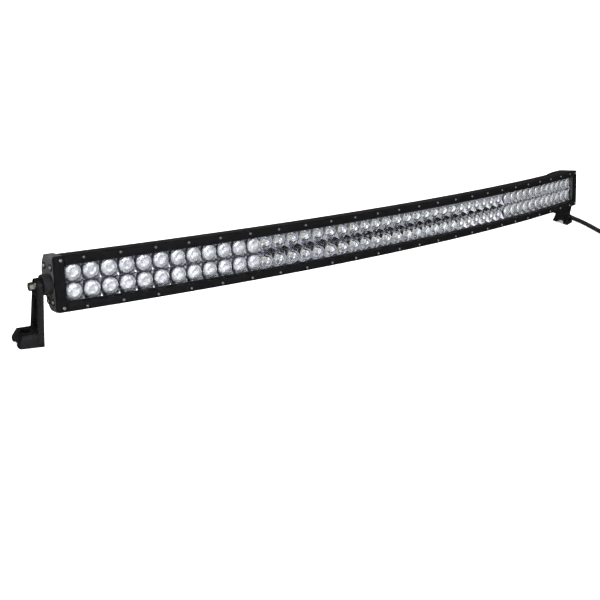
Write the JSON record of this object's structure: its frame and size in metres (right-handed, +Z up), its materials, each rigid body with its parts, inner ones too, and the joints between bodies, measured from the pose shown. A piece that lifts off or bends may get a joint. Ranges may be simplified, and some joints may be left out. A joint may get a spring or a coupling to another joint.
{
  "type": "led light bar",
  "caption": "Curved LED light bar: finned aluminium housing, rows of reflector cups behind a clear lens, screwed bezel frame, cast tilt brackets and a short lead with a plug.",
  "frame": {"origin": "point of the mounting plane midway below the two tilt bolts", "axes": "+Z up, away from the mounting plane; +X along the bar to the end with the lead; -Y the way the light points"},
  "size_m": [1.3196, 0.2625, 0.1343],
  "materials": {
    "housing": "black anodised, satin",
    "cap": "black powder coat, satin",
    "bezel": "black powder coat, satin",
    "lens": "clear polycarbonate",
    "reflector": "vacuum metallised",
    "board": "white solder mask on a metal core",
    "rubber": "matt",
    "bracket": "cast, black powder coat",
    "zinc": "zinc plated",
    "nylon": "black nylon"
  },
  "bodies": {
    "lamp": {"housing": "housing", "left_end_cap": "cap", "right_end_cap": "cap", "wiring_cover": "cap", "top_bezel": "bezel", "bottom_bezel": "bezel", "left_bezel_end": "bezel", "right_bezel_end": "bezel", "cover_lens": "lens", "reflector_1": "reflector", "reflector_2": "reflector", "reflector_3": "reflector", "reflector_4": "reflector", "reflector_5": "reflector", "reflector_6": "reflector", "reflector_7": "reflector", "reflector_8": "reflector", "led_board_1": "board", "led_board_2": "board", "led_board_3": "board", "led_board_4": "board", "led_board_5": "board", "led_board_6": "board", "led_board_7": "board", "led_board_8": "board", "left_end_seal": "rubber", "right_end_seal": "rubber", "top_lens_seal": "rubber", "bottom_lens_seal": "rubber", "left_spacer": "rubber", "right_spacer": "rubber", "strain_relief": "rubber", "power_cable": "rubber", "connector_seal": "rubber", "left_pivot_bolt": "zinc", "left_flat_washer": "zinc", "left_spring_washer": "zinc", "right_pivot_bolt": "zinc", "right_flat_washer": "zinc", "right_spring_washer": "zinc", "gland_body": "nylon", "gland_nut": "nylon", "breather_vent": "nylon", "connector": "nylon"},
    "left_bracket": {"left_bracket": "bracket"},
    "right_bracket": {"right_bracket": "bracket"}
  },
  "joints": [
    {"name": "left_bracket_tilt", "type": "hinge", "parent": "lamp", "child": "left_bracket", "pos_m": [-0.60757, 0, 0.079], "axis": [0.9803, -0.1896, 0.0544], "range_deg": [-46, 74]},
    {"name": "right_bracket_tilt", "type": "hinge", "parent": "lamp", "child": "right_bracket", "pos_m": [0.60757, 0, 0.079], "axis": [0.9803, 0.1896, -0.0544], "range_deg": [-46, 74]}
  ]
}
